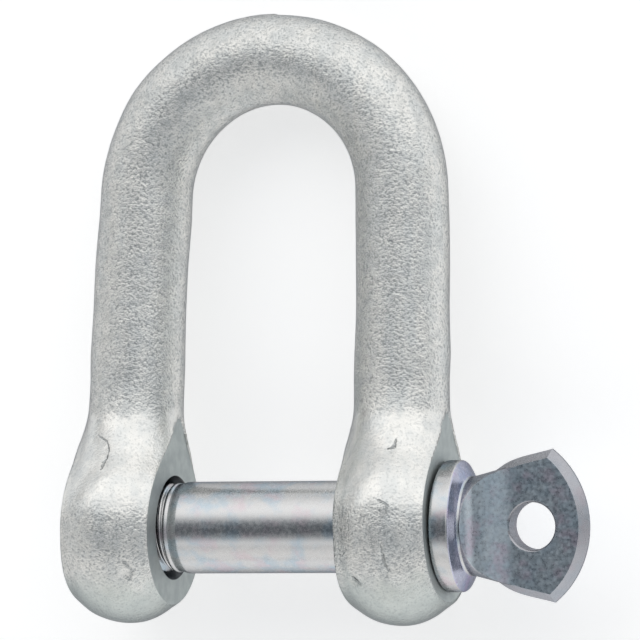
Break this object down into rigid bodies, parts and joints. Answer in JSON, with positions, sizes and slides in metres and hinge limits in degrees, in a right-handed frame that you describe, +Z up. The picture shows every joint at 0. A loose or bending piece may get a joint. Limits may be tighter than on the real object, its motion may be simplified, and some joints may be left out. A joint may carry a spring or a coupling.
{
  "type": "screw pin D shackle",
  "caption": "Galvanised D shackle for joining chain, with a forged bow and a screw pin that has a collar and a flat tab with an eye.",
  "frame": {"origin": "on the pin's axis, in the middle of the jaw", "axes": "+X along the pin to its collar and tab, +Y to the crown of the bow, +Z up as it lies on its side"},
  "size_m": [0.0931, 0.1061, 0.0332],
  "materials": {
    "galvanised_bow": "hot-dip galvanised forged steel, grainy satin",
    "plated_pin": "bright zinc on turned and forged steel"
  },
  "bodies": {
    "bow": {"bow": "galvanised_bow"},
    "pin": {"screw_pin": "plated_pin"}
  },
  "joints": [
    {"name": "pin_draw", "type": "slide", "parent": "bow", "child": "pin", "axis": [1, 0, 0], "range_m": [0, 0.07]}
  ]
}
